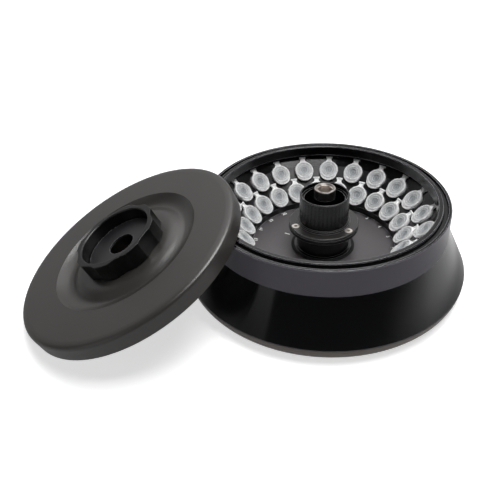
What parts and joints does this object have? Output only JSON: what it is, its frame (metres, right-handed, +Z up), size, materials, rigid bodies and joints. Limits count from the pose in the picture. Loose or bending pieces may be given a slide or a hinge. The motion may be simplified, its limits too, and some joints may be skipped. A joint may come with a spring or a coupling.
{
  "type": "fixed angle rotor",
  "caption": "Centrifuge rotor with slanted bores full of capped micro tubes, a threaded hub with a clamping screw, and a lid with a lobed hand knob leaning on its rim.",
  "frame": {"origin": "middle of the drive shaft bore's mouth under the hub, in the plane that the rotor stands on", "axes": "+Z up along the rotor's axis, -X towards the lid that leans on the rim"},
  "size_m": [0.293, 0.2179, 0.0719],
  "materials": {
    "rotor_anodised": "satin",
    "rubber_black": "matte",
    "hub_anodised": "satin",
    "steel_bright": "polished",
    "spindle_black": "satin",
    "steel_dull": "satin",
    "lid_anodised": "satin",
    "knob_plastic": "satin",
    "washer_anodised": "satin",
    "tube_polypropylene": "translucent"
  },
  "bodies": {
    "rotor": {"rotor_body": "rotor_anodised", "rim_seal": "rubber_black", "hub_base": "hub_anodised", "hub_nut": "hub_anodised", "foot_ring": "rubber_black", "hub_collar": "hub_anodised", "hub_screws": "steel_bright", "spindle_sleeve": "spindle_black", "lid": "lid_anodised", "lid_seal": "rubber_black", "tube_outer_01": "tube_polypropylene", "tube_outer_02": "tube_polypropylene", "tube_outer_03": "tube_polypropylene", "tube_outer_04": "tube_polypropylene", "tube_outer_05": "tube_polypropylene", "tube_outer_06": "tube_polypropylene", "tube_outer_07": "tube_polypropylene", "tube_outer_08": "tube_polypropylene", "tube_outer_09": "tube_polypropylene", "tube_outer_10": "tube_polypropylene", "tube_outer_11": "tube_polypropylene", "tube_outer_12": "tube_polypropylene", "tube_outer_13": "tube_polypropylene", "tube_outer_14": "tube_polypropylene", "tube_outer_15": "tube_polypropylene", "tube_outer_16": "tube_polypropylene", "tube_outer_17": "tube_polypropylene", "tube_outer_18": "tube_polypropylene", "tube_outer_19": "tube_polypropylene", "tube_outer_20": "tube_polypropylene", "tube_outer_21": "tube_polypropylene", "tube_outer_22": "tube_polypropylene", "tube_inner_01": "tube_polypropylene", "tube_inner_02": "tube_polypropylene", "tube_inner_03": "tube_polypropylene", "tube_inner_04": "tube_polypropylene", "tube_inner_05": "tube_polypropylene", "tube_inner_06": "tube_polypropylene", "tube_inner_07": "tube_polypropylene", "tube_inner_08": "tube_polypropylene", "tube_inner_09": "tube_polypropylene", "tube_inner_10": "tube_polypropylene", "tube_inner_11": "tube_polypropylene", "tube_inner_12": "tube_polypropylene", "tube_inner_13": "tube_polypropylene", "tube_inner_14": "tube_polypropylene", "tube_inner_15": "tube_polypropylene", "tube_inner_16": "tube_polypropylene", "tube_inner_17": "tube_polypropylene", "tube_inner_18": "tube_polypropylene", "tube_inner_19": "tube_polypropylene", "tube_inner_20": "tube_polypropylene", "tube_inner_21": "tube_polypropylene", "tube_inner_22": "tube_polypropylene"},
    "knob": {"knob": "knob_plastic", "knob_washer": "washer_anodised", "threaded_sleeve": "steel_dull", "retaining_ring": "steel_dull"},
    "clamping_screw": {"clamping_screw": "steel_bright", "screw_clip": "steel_dull"}
  },
  "joints": [
    {"name": "knob_turn", "type": "hinge", "parent": "rotor", "child": "knob", "pos_m": [-0.126, -0.0452, 0.04147], "axis": [-0.3803, -0.1324, 0.9153], "continuous": true},
    {"name": "clamping_screw_turn", "type": "hinge", "parent": "rotor", "child": "clamping_screw", "pos_m": [0, 0, 0.06], "axis": [0, 0, 1], "continuous": true}
  ]
}
